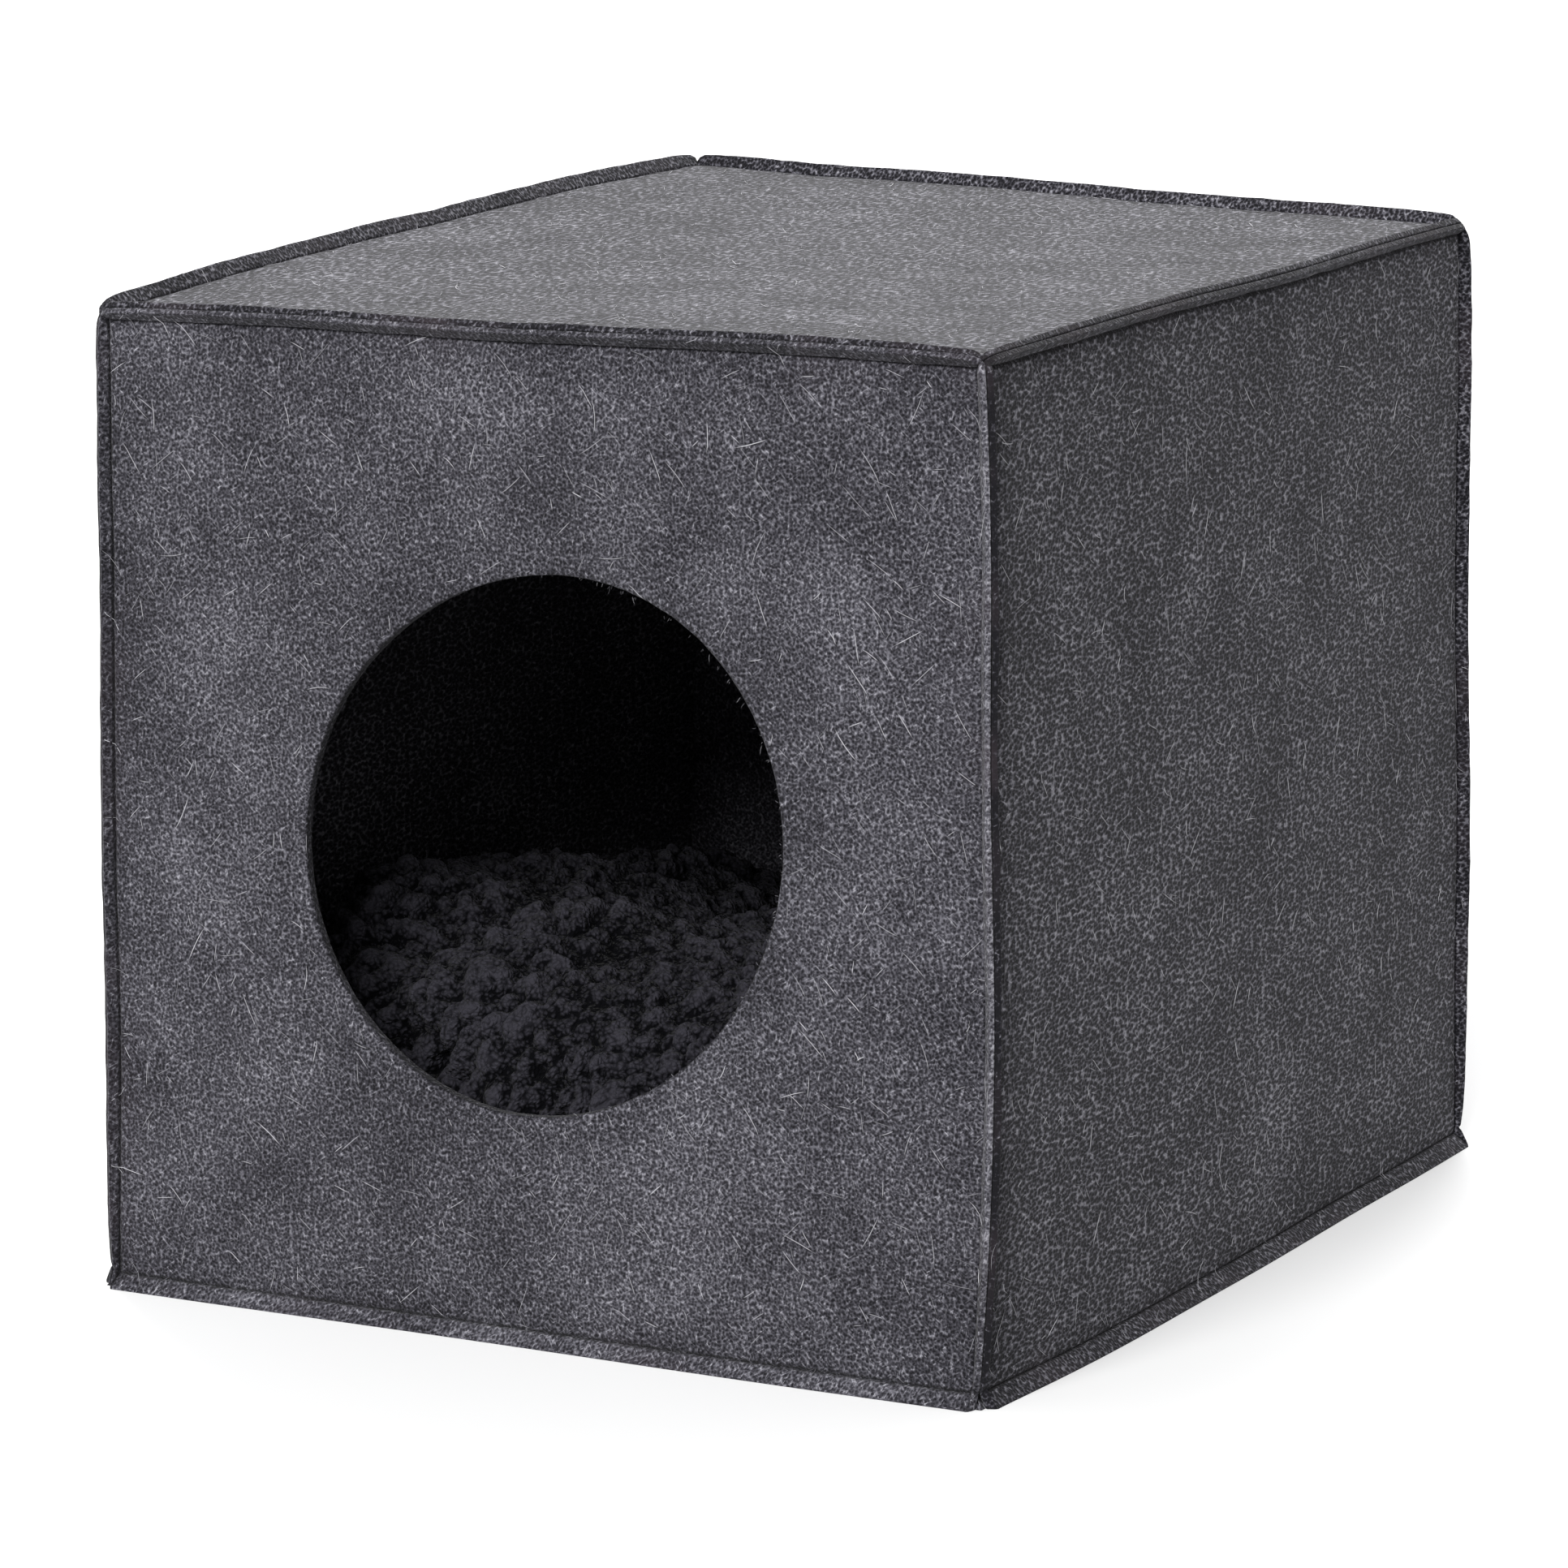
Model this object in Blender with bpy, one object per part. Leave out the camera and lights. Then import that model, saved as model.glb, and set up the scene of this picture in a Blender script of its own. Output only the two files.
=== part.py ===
"""Felt cat cave: a box of six needle-felt panels with a round entrance, and a plush cushion inside.

The six panels are seamed to each other along the twelve edges of the box. At each edge the seam
allowances of the two panels are turned outward and sewn face to face, so that the edge carries a low rim of
two felt layers beside a stitched groove. Metres, +Z up. The origin is on the surface below the middle of the
box, and the entrance faces -Y.
"""

import math

import bmesh
import bpy
from mathutils import Vector

# The box, between the outer faces of opposite panels.
WIDTH = 0.322
DEPTH = 0.366
HEIGHT = 0.322
# The outer face of the base stands this far above the surface along its seams.
SEAM_RISE = 0.0015
FELT = 0.004
# Each layer of felt where the seam stitches squeeze it.
SEAM_FELT = 0.0022
PIECE_GAP = 0.0003
# How far the groove beside a rim is drawn in, and where the panel is at its full level again.
GROOVE_SINK = 0.0006

# The entrance, cut in the front panel and pulled slightly out of round.
ENTRANCE_RADIUS = 0.0867
ENTRANCE_X = 0.0029
ENTRANCE_Z = 0.1621
ENTRANCE_PULL = 0.046
ENTRANCE_PULL_TURN = math.radians(45)

# The turned-out allowance of each seam, from the box's edge to the cut edge of the felt.
# Columns: the two panels it joins, allowance.
SEAMS = (
    ("front_panel", "top_panel", 0.0030),
    ("right_panel", "top_panel", 0.0020),
    ("back_panel", "top_panel", 0.0028),
    ("left_panel", "top_panel", 0.0032),
    ("front_panel", "left_panel", 0.0014),
    ("front_panel", "right_panel", 0.0026),
    ("back_panel", "right_panel", 0.0024),
    ("back_panel", "left_panel", 0.0024),
)
# At the four upper corners the allowances are trimmed round, down to this length.
TRIMMED_ALLOWANCE = 0.0001
TRIM_RADIUS = 0.0085
# At the foot of each upright seam the allowance tapers away into the rims of the base.
FOOT_ALLOWANCE = -0.0010
FOOT_TAPER = 0.0160
# How far the rims along the base stand out on the surface.
BASE_SPLAY = {"front_panel": 0.0046, "right_panel": 0.0048, "back_panel": 0.0044, "left_panel": 0.0040}

# Each panel. Columns: name, outward normal, direction across, direction along, how far its middle bows out.
PANELS = (
    ("front_panel", (0, -1, 0), (1, 0, 0), (0, 0, 1), 0.0012),
    ("back_panel", (0, 1, 0), (-1, 0, 0), (0, 0, 1), 0.0024),
    ("left_panel", (-1, 0, 0), (0, -1, 0), (0, 0, 1), 0.0022),
    ("right_panel", (1, 0, 0), (0, 1, 0), (0, 0, 1), 0.0018),
    ("top_panel", (0, 0, 1), (1, 0, 0), (0, 1, 0), -0.0028),
    ("base_panel", (0, 0, -1), (1, 0, 0), (0, -1, 0), SEAM_RISE),
)
# The mesh lines across a panel: two close to each seam, then even ones between.
LINES_NEAR_SEAM = (0.0025, 0.0085)
EVEN_CELLS = 8
RINGS_AROUND_ENTRANCE = 4

# How far the soft box leans out of square. Columns: side, depth and height of the corner, its shift.
CORNER_SHIFTS = (
    (-1, -1, 1, (0.0023, 0.0005, -0.0010)),
    (1, -1, 1, (0.0000, 0.0005, 0.0025)),
    (1, 1, 1, (-0.0068, -0.0025, 0.0008)),
    (-1, 1, 1, (0.0070, 0.0050, 0.0075)),
    (-1, -1, -1, (-0.0024, -0.0035, 0.0000)),
    (1, -1, -1, (0.0010, 0.0015, 0.0000)),
    (1, 1, -1, (-0.0048, -0.0038, 0.0000)),
    (-1, 1, -1, (0.0000, 0.0000, 0.0000)),
)
# The upper left seam arches up between its corners, and the foot of the front right corner is tucked in.
UPPER_LEFT_ARCH = 0.0027
TUCKED_FOOT = (0.161, -0.183, 0)
TUCK = (-0.0058, 0, 0)
TUCK_REACH = 0.150
# The slight waves of the seams and panels.
WAVE = 0.0005
WAVE_LENGTHS = (0.171, 0.127, 0.213)
WAVE_PHASES = (0.9, 2.3, 4.0)
WAVE_FREE_HEIGHT = 0.060
# What brings the middle of the soft box over the origin again.
CENTRING = (0.0013, -0.0002, 0)

# The cushion, loose on the base panel.
CUSHION_CLEARANCE = 0.004
CUSHION_CROWN = 0.114
CUSHION_SEAM_HEIGHT = 0.046
CUSHION_CORNER_POWER = 3.6
CUSHION_SIDE_PULL = 0.005
CUSHION_TOP_POWER = 3.8
# How much higher its plush is pushed up towards the left panel, lower at the right, and lower at the back.
CUSHION_BANK = 0.009
CUSHION_FALL = 0.022
CUSHION_UNDER_POWER = 3.4
CUSHION_POINTS_AROUND = 60
CUSHION_TOP_TURNS = (8, 20, 34, 48, 60, 70, 77, 82, 86)
CUSHION_UNDER_TURNS = (16, 34, 52)
# The rings of its flat underside, as shares of the outline.
CUSHION_FLAT_SHARES = (0.55, 0.86)
# Lumps of the plush that show from a step away. Columns: length across a lump, direction, phase, height.
CUSHION_LUMPS = (
    (0.093, 20, 0.4, 0.0034),
    (0.071, 98, 1.9, 0.0030),
    (0.056, 152, 3.1, 0.0024),
)

ROOT2 = math.sqrt(2)


def material(name, colour, roughness):
    made = bpy.data.materials.new(name)
    made.use_nodes = True
    shader = made.node_tree.nodes["Principled BSDF"]
    shader.inputs["Base Color"].default_value = (*colour, 1)
    shader.inputs["Roughness"].default_value = roughness
    shader.inputs["Metallic"].default_value = 0
    return made


def settle(point):
    """Moves a point of the exact box to its place in the soft one, which leans and has slight waves."""
    side = point.x / (WIDTH / 2)
    deep = point.y / (DEPTH / 2)
    high = max(-1, (point.z - SEAM_RISE) / (HEIGHT / 2) - 1)
    shift = Vector()
    for corner_side, corner_deep, corner_high, corner_shift in CORNER_SHIFTS:
        share = (1 + corner_side * side) * (1 + corner_deep * deep) * (1 + corner_high * high) / 8
        shift += share * Vector(corner_shift)
    free = min(1, max(0, point.z - SEAM_RISE) / WAVE_FREE_HEIGHT)
    first, second, third = (2 * math.pi / length for length in WAVE_LENGTHS)
    shift.x += WAVE * math.sin(first * point.z + second * point.y + WAVE_PHASES[0])
    shift.y += WAVE * math.sin(second * point.z + third * point.x + WAVE_PHASES[1])
    shift.z += WAVE * free * math.sin(third * point.y + first * point.x + WAVE_PHASES[2])
    shift.z += UPPER_LEFT_ARCH * (1 - side) / 2 * (1 + high) / 2 * (1 - deep**2)
    near_foot = max(0, 1 - (point - Vector(TUCKED_FOOT)).length / TUCK_REACH)
    return point + shift + near_foot**2 * Vector(TUCK) + Vector(CENTRING)


def allowance(panel, neighbour, from_corner, at_top):
    """The allowance of a seam at a distance from its nearer corner."""
    full = next(size for one, other, size in SEAMS if {one, other} == {panel, neighbour})
    if not at_top:
        return FOOT_ALLOWANCE + (full - FOOT_ALLOWANCE) * min(1, from_corner / FOOT_TAPER)
    left = max(0, 1 - from_corner / TRIM_RADIUS)
    return TRIMMED_ALLOWANCE + (full - TRIMMED_ALLOWANCE) * math.sqrt(1 - left**2)


def rim_section(panel, neighbour, from_corner, at_top):
    """The rim's four lines, as (outward in the panel's plane, out of it): groove, outer and inner tip, root.

    Rims at the base end flat on the surface. The others end in a cut square to the felt.
    """
    groove = (-ROOT2 * SEAM_FELT, -GROOVE_SINK)
    root = (-FELT - PIECE_GAP / ROOT2, -FELT)
    if panel == "base_panel":
        outer = (SEAM_RISE - ROOT2 * SEAM_FELT, SEAM_RISE)
        inner = (SEAM_RISE - PIECE_GAP / ROOT2, SEAM_RISE)
    elif neighbour == "base_panel":
        outer = (SEAM_RISE, BASE_SPLAY[panel])
        inner = (SEAM_RISE, SEAM_RISE + PIECE_GAP / ROOT2)
    else:
        length = allowance(panel, neighbour, from_corner, at_top)
        outer = ((length - SEAM_FELT) / ROOT2, (length + SEAM_FELT) / ROOT2)
        inner = ((length - PIECE_GAP) / ROOT2, length / ROOT2)
    return groove, outer, inner, root


def grid_lines(half):
    """Positions from -1 to 1 of the mesh lines across a panel of this half width."""
    near = [1 - distance / half for distance in LINES_NEAR_SEAM]
    even = [near[-1] * (1 - 2 * step / EVEN_CELLS) for step in range(1, EVEN_CELLS)]
    return sorted([1, *near, *even, *(-line for line in near), -1])


def outline_steps(across_lines, along_lines):
    """The (across, along) positions round a panel's edge, anticlockwise from one corner, from outside."""
    steps = [(line, -1) for line in across_lines[:-1]]
    steps += [(1, line) for line in along_lines[:-1]]
    steps += [(line, 1) for line in reversed(across_lines[1:])]
    steps += [(-1, line) for line in reversed(along_lines[1:])]
    return steps


def neighbour_of(direction):
    for name, normal, _, _, _ in PANELS:
        if (Vector(normal) - direction).length < 0.5:
            return name


class Sheet:
    """One felt panel while its mesh is built."""

    def __init__(self, name, normal, across, along, bow):
        self.name = name
        self.normal, self.across, self.along = Vector(normal), Vector(across), Vector(along)
        self.bow = bow
        box = Vector((WIDTH, DEPTH, HEIGHT)) / 2
        self.half_across = abs(box.dot(self.across))
        self.half_along = abs(box.dot(self.along))
        middle_height = Vector((0, 0, SEAM_RISE + HEIGHT / 2))
        self.middle = middle_height + self.normal * abs(box.dot(self.normal))
        self.across_lines = grid_lines(self.half_across)
        self.along_lines = grid_lines(self.half_along)
        self.steps = outline_steps(self.across_lines, self.along_lines)
        self.mesh = bmesh.new()

    def vertex(self, across, along, out):
        point = self.middle + self.across * across + self.along * along + self.normal * out
        return self.mesh.verts.new(settle(point))

    def is_high(self, across, along):
        """Whether a position is nearer to the top of the box than to its base."""
        place = self.normal + self.across * across + self.along * along
        return place.z > 0

    def section(self, across, along):
        """The rim's section at a position on the panel's edge. A corner has two, one for each edge."""
        found = {}
        for axis, mine, other, half in (
            ("across", across, along, self.half_along),
            ("along", along, across, self.half_across),
        ):
            if abs(mine) == 1:
                direction = mine * (self.across if axis == "across" else self.along)
                from_corner = (1 - abs(other)) * half
                found[axis] = rim_section(
                    self.name, neighbour_of(direction), from_corner, self.is_high(across, along)
                )
        return found

    def corner_reach(self, line, across, along):
        """How far the nearest corner of the rim's numbered line stands outward."""
        corner = (math.copysign(1, across), math.copysign(1, along))
        return min(part[line][0] for part in self.section(*corner).values())

    def outline(self, line):
        """The vertices of one of the rim's lines, round the whole panel."""
        made = []
        for across, along in self.steps:
            parts = self.section(across, along)
            reach = self.corner_reach(line, across, along)
            out_across = parts["across"][line][0] if "across" in parts else reach
            out_along = parts["along"][line][0] if "along" in parts else reach
            out = max(part[line][1] for part in parts.values())
            made.append(
                self.vertex(
                    across * (self.half_across + out_across), along * (self.half_along + out_along), out
                )
            )
        return made

    def bridge(self, first, second):
        """Joins two outlines. The second is further inside the material, seen from outside."""
        for step, vertex in enumerate(first):
            after = (step + 1) % len(first)
            self.mesh.faces.new((first[after], vertex, second[step], second[after]))

    def rise(self, across, along, level):
        """How far a face's point lies out of the panel's plane."""
        if self.name == "base_panel":
            return level + self.bow
        return level + self.bow * (1 - across**2) * (1 - along**2)

    def face(self, outline, inset, level, outward):
        """Fills an outline with a grid. The inset is how far the outline lies inside the box's edge."""
        points = dict(zip(self.steps, outline))
        for across in self.across_lines[1:-1]:
            for along in self.along_lines[1:-1]:
                points[across, along] = self.vertex(
                    across * (self.half_across - inset),
                    along * (self.half_along - inset),
                    self.rise(across, along, level),
                )
        for a, b in zip(self.across_lines, self.across_lines[1:]):
            for c, d in zip(self.along_lines, self.along_lines[1:]):
                corners = [points[a, c], points[b, c], points[b, d], points[a, d]]
                self.mesh.faces.new(corners if outward else reversed(corners))

    def holed_face(self, outline, inset, level, outward):
        """Fills an outline with rings that end at the entrance, and returns the ring on its edge."""
        ring = outline
        first_corner = -3 * math.pi / 4
        for number in range(1, RINGS_AROUND_ENTRANCE + 1):
            share = number / RINGS_AROUND_ENTRANCE
            inner = []
            for step, (across, along) in enumerate(self.steps):
                angle = 2 * math.pi * step / len(self.steps) + first_corner
                pull = 1 + ENTRANCE_PULL * math.cos(2 * (angle - ENTRANCE_PULL_TURN))
                cut_across = ENTRANCE_X + ENTRANCE_RADIUS * pull * math.cos(angle)
                cut_along = ENTRANCE_Z - self.middle.z + ENTRANCE_RADIUS * pull * math.sin(angle)
                seam_across = across * (self.half_across - inset)
                seam_along = along * (self.half_along - inset)
                place_across = seam_across + share * (cut_across - seam_across)
                place_along = seam_along + share * (cut_along - seam_along)
                out = self.rise(place_across / self.half_across, place_along / self.half_along, level)
                inner.append(self.vertex(place_across, place_along, out))
            if outward:
                self.bridge(inner, ring)
            else:
                self.bridge(ring, inner)
            ring = inner
        return ring

    def finish(self, made_of):
        mesh = bpy.data.meshes.new(self.name)
        self.mesh.normal_update()
        self.mesh.to_mesh(mesh)
        self.mesh.free()
        panel = bpy.data.objects.new(self.name, mesh)
        panel.data.materials.append(made_of)
        bpy.context.scene.collection.objects.link(panel)
        return panel


def felt_panel(name, normal, across, along, bow, made_of):
    """A panel with its four allowances turned out, mitred against its neighbours at the box's edges."""
    sheet = Sheet(name, normal, across, along, bow)
    groove, outer, inner, root = (sheet.outline(line) for line in range(4))
    sheet.bridge(groove, outer)
    sheet.bridge(outer, inner)
    sheet.bridge(inner, root)
    groove_inset = ROOT2 * SEAM_FELT
    root_inset = FELT + PIECE_GAP / ROOT2
    if name == "front_panel":
        outside = sheet.holed_face(groove, groove_inset, 0, True)
        inside = sheet.holed_face(root, root_inset, -FELT, False)
        sheet.bridge(inside, outside)
    else:
        sheet.face(groove, groove_inset, 0, True)
        sheet.face(root, root_inset, -FELT, False)
    return sheet.finish(made_of)


def lump_height(x, y):
    """How far the plush lies above its even crown."""
    height = 0
    for length, direction, phase, size in CUSHION_LUMPS:
        angle = math.radians(direction)
        along = x * math.cos(angle) + y * math.sin(angle)
        height += size * math.sin(2 * math.pi * along / length + phase)
    deep = y / DEPTH + 0.5
    return height - CUSHION_BANK * x / (WIDTH / 2) - CUSHION_FALL * deep**2


def cushion_outline(angle):
    """The seam's distance from the middle, for a rectangle with round corners and drawn-in sides."""
    half_x = WIDTH / 2 - FELT - CUSHION_CLEARANCE
    half_y = DEPTH / 2 - FELT - CUSHION_CLEARANCE
    power = CUSHION_CORNER_POWER
    inverse = abs(math.cos(angle) / half_x) ** power + abs(math.sin(angle) / half_y) ** power
    return inverse ** (-1 / power) - CUSHION_SIDE_PULL * math.cos(2 * angle) ** 2


def plush_cushion(made_of):
    """A filled cushion, flat where it lies on the base panel, crowned and lumpy above its seam."""
    rests_at = FELT + PIECE_GAP
    mesh = bmesh.new()

    def ring(share, height, lumpy):
        made = []
        for step in range(CUSHION_POINTS_AROUND):
            angle = 2 * math.pi * step / CUSHION_POINTS_AROUND
            reach = share * cushion_outline(angle)
            x, y = reach * math.cos(angle), reach * math.sin(angle)
            z = rests_at + height + lumpy * lump_height(x, y)
            made.append(mesh.verts.new(settle(Vector((x, y, z)))))
        return made

    def join(lower, upper):
        for step, vertex in enumerate(lower):
            after = (step + 1) % len(lower)
            mesh.faces.new((vertex, lower[after], upper[after], upper[step]))

    rings = [ring(share, 0, 0) for share in CUSHION_FLAT_SHARES]
    for turn in reversed(CUSHION_UNDER_TURNS):
        share = math.cos(math.radians(turn)) ** (2 / CUSHION_UNDER_POWER)
        drop = math.sin(math.radians(turn)) ** (2 / CUSHION_UNDER_POWER)
        rings.append(ring(share, CUSHION_SEAM_HEIGHT * (1 - drop), 0))
    rings.append(ring(1, CUSHION_SEAM_HEIGHT, 0))
    for turn in CUSHION_TOP_TURNS:
        share = math.cos(math.radians(turn)) ** (2 / CUSHION_TOP_POWER)
        lift = math.sin(math.radians(turn)) ** (2 / CUSHION_TOP_POWER)
        height = CUSHION_SEAM_HEIGHT + (CUSHION_CROWN - CUSHION_SEAM_HEIGHT) * lift
        rings.append(ring(share, height, lift))
    for lower, upper in zip(rings, rings[1:]):
        join(lower, upper)
    under = mesh.verts.new(settle(Vector((0, 0, rests_at))))
    top = mesh.verts.new(settle(Vector((0, 0, rests_at + CUSHION_CROWN + lump_height(0, 0)))))
    for step in range(CUSHION_POINTS_AROUND):
        after = (step + 1) % CUSHION_POINTS_AROUND
        mesh.faces.new((rings[0][after], rings[0][step], under))
        mesh.faces.new((rings[-1][step], rings[-1][after], top))
    data = bpy.data.meshes.new("cushion")
    mesh.to_mesh(data)
    mesh.free()
    data.shade_smooth()
    cushion = bpy.data.objects.new("cushion", data)
    cushion.data.materials.append(made_of)
    bpy.context.scene.collection.objects.link(cushion)


for old in list(bpy.data.objects):
    bpy.data.objects.remove(old)

felt = material("charcoal_heather_felt", (0.060, 0.059, 0.066), 0.95)
plush = material("black_sherpa_plush", (0.014, 0.014, 0.017), 0.90)
for panel_name, panel_normal, panel_across, panel_along, panel_bow in PANELS:
    felt_panel(panel_name, panel_normal, panel_across, panel_along, panel_bow, felt)
plush_cushion(plush)
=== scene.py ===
# Felt cat cave: the looks. Six needle-felt panels with turned-out seam rims, the loose fibres that felt
# sheds, and a filled cushion with a sherpa plush cover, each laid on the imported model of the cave.
import math
import random

import bmesh
import bpy
import numpy as np
from mathutils import Matrix, Vector, noise
from mathutils.bvhtree import BVHTree


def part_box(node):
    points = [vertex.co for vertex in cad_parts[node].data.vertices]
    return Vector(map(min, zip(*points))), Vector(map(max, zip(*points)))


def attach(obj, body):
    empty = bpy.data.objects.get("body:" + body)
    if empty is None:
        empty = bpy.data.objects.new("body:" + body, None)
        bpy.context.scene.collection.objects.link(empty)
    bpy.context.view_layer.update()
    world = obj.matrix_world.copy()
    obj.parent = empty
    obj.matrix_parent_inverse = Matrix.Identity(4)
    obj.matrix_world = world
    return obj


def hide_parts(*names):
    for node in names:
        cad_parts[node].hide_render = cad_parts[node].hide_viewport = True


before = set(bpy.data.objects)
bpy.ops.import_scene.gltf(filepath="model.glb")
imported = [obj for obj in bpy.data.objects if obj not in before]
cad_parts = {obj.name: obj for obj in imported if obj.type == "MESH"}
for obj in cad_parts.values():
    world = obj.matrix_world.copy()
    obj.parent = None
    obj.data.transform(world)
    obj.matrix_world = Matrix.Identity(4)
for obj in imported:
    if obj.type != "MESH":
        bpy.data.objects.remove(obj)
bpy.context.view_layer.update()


# ---- Felt panels -----------------------------------------------------------------------------------------
# Six sheets of 4 mm needle felt. Their seam allowances are turned outward and sewn face to face with those
# of the next panel, so a narrow rim of two layers stands along each edge of the box, beside a groove that
# the stitches draw in. The round entrance is cut raw in the front panel.

# Columns: the way that the panel faces, the shade (over 0) or light (under 0) painted on its rim's crest, how
# much longer than on the front its needle marks are drawn along X, Y and Z, and how much painted shade
# deepens them.
PANELS = {
    "front_panel": (Vector((0, -1, 0)), -0.5, (1, 1, 1), 1),
    "back_panel": (Vector((0, 1, 0)), 0.4, (1, 1, 1), 1),
    "left_panel": (Vector((-1, 0, 0)), 0.8, (1, 2.0, 1.05), 1.8),
    "right_panel": (Vector((1, 0, 0)), 0.7, (1, 2.0, 1.05), 1.8),
    "top_panel": (Vector((0, 0, 1)), 0.3, (1.2, 2.6, 1), 1.7),
    "base_panel": (Vector((0, 0, -1)), 0, (1.2, 2.6, 1), 1.7),
}
# The entrance is round, and cutting has pulled it a little aslant.
ENTRANCE_MIDDLE = Vector((0.0029, 0, 0.1621))
ENTRANCE_RADIUS = 0.0867
ENTRANCE_PULL = 0.046
PULL_TURN = math.radians(45)
# Points nearer than this are one point. Triangles join in a quad where they fold and skew less than these
# angles, and each quad is halved so many times.
SAME_POINT = 0.00002
QUAD_FOLD, QUAD_CORNERS = math.radians(60), math.radians(110)
CELL_LEVELS = 3
# The rim lies so near to the seam, and the cut wall so near to the entrance's edge.
RIM_REACH = 0.009
CUT_WALL_REACH = 0.003
# Where the faces fold in more than this lies the groove, and where they fold out more than that a cut edge.
GROOVE_ANGLE = -0.35
GROOVE_HALF_WIDTH = 0.0008
GROOVE_DEPTH = 0.0012
CUT_EDGE_ANGLE = 0.5
CUT_EDGE_CREASE = 0.75
# Felt is never quite even: its faces sag, and its rims and its cut edge wave.
SAG_LENGTH, SAG_HEIGHT = 0.030, 0.0008
RIM_WAVE_LENGTH, RIM_WAVE_HEIGHT = 0.009, 0.0006
CUT_WAVE_LENGTH, CUT_WAVE_HEIGHT = 0.004, 0.0003
# Close to the floor it stays even: all of it up to this share of the zone, then less and less.
FLOOR_ZONE = 0.010
EVEN_SHARE = 0.3
# By the share of its normal that points out of the panel, a face lies on the back of the rim under the first
# value, and on the cut wall under the second. A slope counts from one share, and in full that much further.
RIM_BACK = -0.2
CUT_WALL = 0.6
SLOPE_FROM, SLOPE_RANGE = 0.2, 0.4
# Painted shade (over 0, darker) and painted light (under 0, paler) in the felt's colour: where the felt bends
# out to its rim, in the stitched groove, on the cut wall, painted light along the front's foot, painted shade
# on the sides beside the front seam, and painted light on the front's own rim there. Then how far the painted
# shade beside a seam reaches.
BENT_SHADE = 0.05
GROOVE_SHADE = 1.2
CUT_WALL_SHADE = 1.0
FOOT_LIGHT, FOOT_HEIGHT = -0.6, 0.0045
SIDE_SEAM_SHADE, SIDE_SEAM_SHADE_REACH = 1.2, 0.007
FRONT_RIM_LIGHT, FRONT_RIM_LIGHT_REACH = -1.1, 0.005
SEAM_SHADE = 0.007


def linear(code):
    """The linear colour of an sRGB hex code."""
    parts = [int(code[place : place + 2], 16) / 255 for place in (1, 3, 5)]
    return (*(part / 12.92 if part <= 0.04045 else ((part + 0.055) / 1.055) ** 2.4 for part in parts), 1)


def blank_material(name):
    """A new material whose node tree is empty."""
    material = bpy.data.materials.new(name)
    material.use_nodes = True
    material.node_tree.nodes.clear()
    return material


def add(tree, kind, inputs=(), **settings):
    """A shader node with its settings, and its inputs given as values or as the sockets that feed them."""
    made = tree.nodes.new(kind)
    for name, value in settings.items():
        setattr(made, name, value)
    for name, value in dict(inputs).items():
        if isinstance(value, bpy.types.NodeSocket):
            tree.links.new(value, made.inputs[name])
        else:
            made.inputs[name].default_value = value
    return made


# Needle-punched polyester: short charcoal and grey fibres matted by barbed needles. It is dry and matt. Each
# needle leaves a dark pit in a paler mesh of fibre, and on the sides, top and base painted shade deepens the
# pits, as light raking across them would. The dye lots lie in soft clouds, and pale dashes of undyed fibre
# run every way. Shade is painted darker into the colour beside the seams, in the groove, on the rims and on
# the cut wall, and light is painted paler on the front's foot and on its right rim. Single fibres are too
# fine to show, so the mat and the dashes are drawn about ten times as coarse.
DARK_FIBRE = "#0c0b10"
GREY_FIBRE = "#35343a"
PALE_FIBRE = "#626168"
UNDYED_FIBRE = "#9a99a0"
WARM_FIBRE = "#493f45"
NEEDLE_MARK = 0.00118
MARK_BEND = 1.1 * NEEDLE_MARK
MARK_FROM, MARK_TO, MARK_CONTRAST = 0.08, 0.75, 0.28
MARK_MEAN = 0.17
MAT, MAT_CONTRAST = 0.00045, 0.55
CLOUD, CLOUD_CONTRAST = 0.016, 0.22
DYE_LOT, LOT_CONTRAST = 0.045, 0.14
SEAM_SHADE_CONTRAST = -0.08
PAINTED_SHADE_CONTRAST = -0.13
DASH_LENGTH = 0.0042
DASH_WIDTH = 0.00034
DASH_TURNS = (-0.75, 0.55, 1.35)
DASH_FROM, DASH_TO, DASH_CONTRAST = 0.66, 0.82, 0.24
WARM_CLOUD = 0.020
WARM_FROM, WARM_TO, WARM_SHARE = 0.50, 0.72, 0.35
PIT_DEPTH = 0.0009
# The grains of a noise pattern are about half a unit wide, and its values lie round a half.
GRAIN = 0.5
MIDDLE = (0.5, 0.5, 0.5)

felt = blank_material("charcoal_heather_needle_felt")
tree = felt.node_tree
points = add(tree, "ShaderNodeTexCoord")
place, laid_flat = points.outputs["Object"], points.outputs["UV"]
bend = add(tree, "ShaderNodeTexNoise", {"Vector": laid_flat, "Scale": GRAIN / NEEDLE_MARK})
bend = add(tree, "ShaderNodeVectorMath", {0: bend.outputs["Color"], 1: MIDDLE}, operation="SUBTRACT")
bend = add(tree, "ShaderNodeVectorMath", {0: bend.outputs[0], "Scale": MARK_BEND}, operation="SCALE")
bent = add(tree, "ShaderNodeVectorMath", {0: laid_flat, 1: bend.outputs[0]})
marks = add(
    tree, "ShaderNodeTexVoronoi",
    {"Vector": bent.outputs[0], "Scale": 1 / NEEDLE_MARK},
    voronoi_dimensions="2D",
)
marks = add(
    tree, "ShaderNodeMapRange",
    {"Value": marks.outputs["Distance"], "From Min": MARK_FROM, "From Max": MARK_TO, "To Max": MARK_CONTRAST},
)
mat = add(tree, "ShaderNodeTexNoise", {"Vector": place, "Scale": GRAIN / MAT, "Detail": 1})
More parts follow.
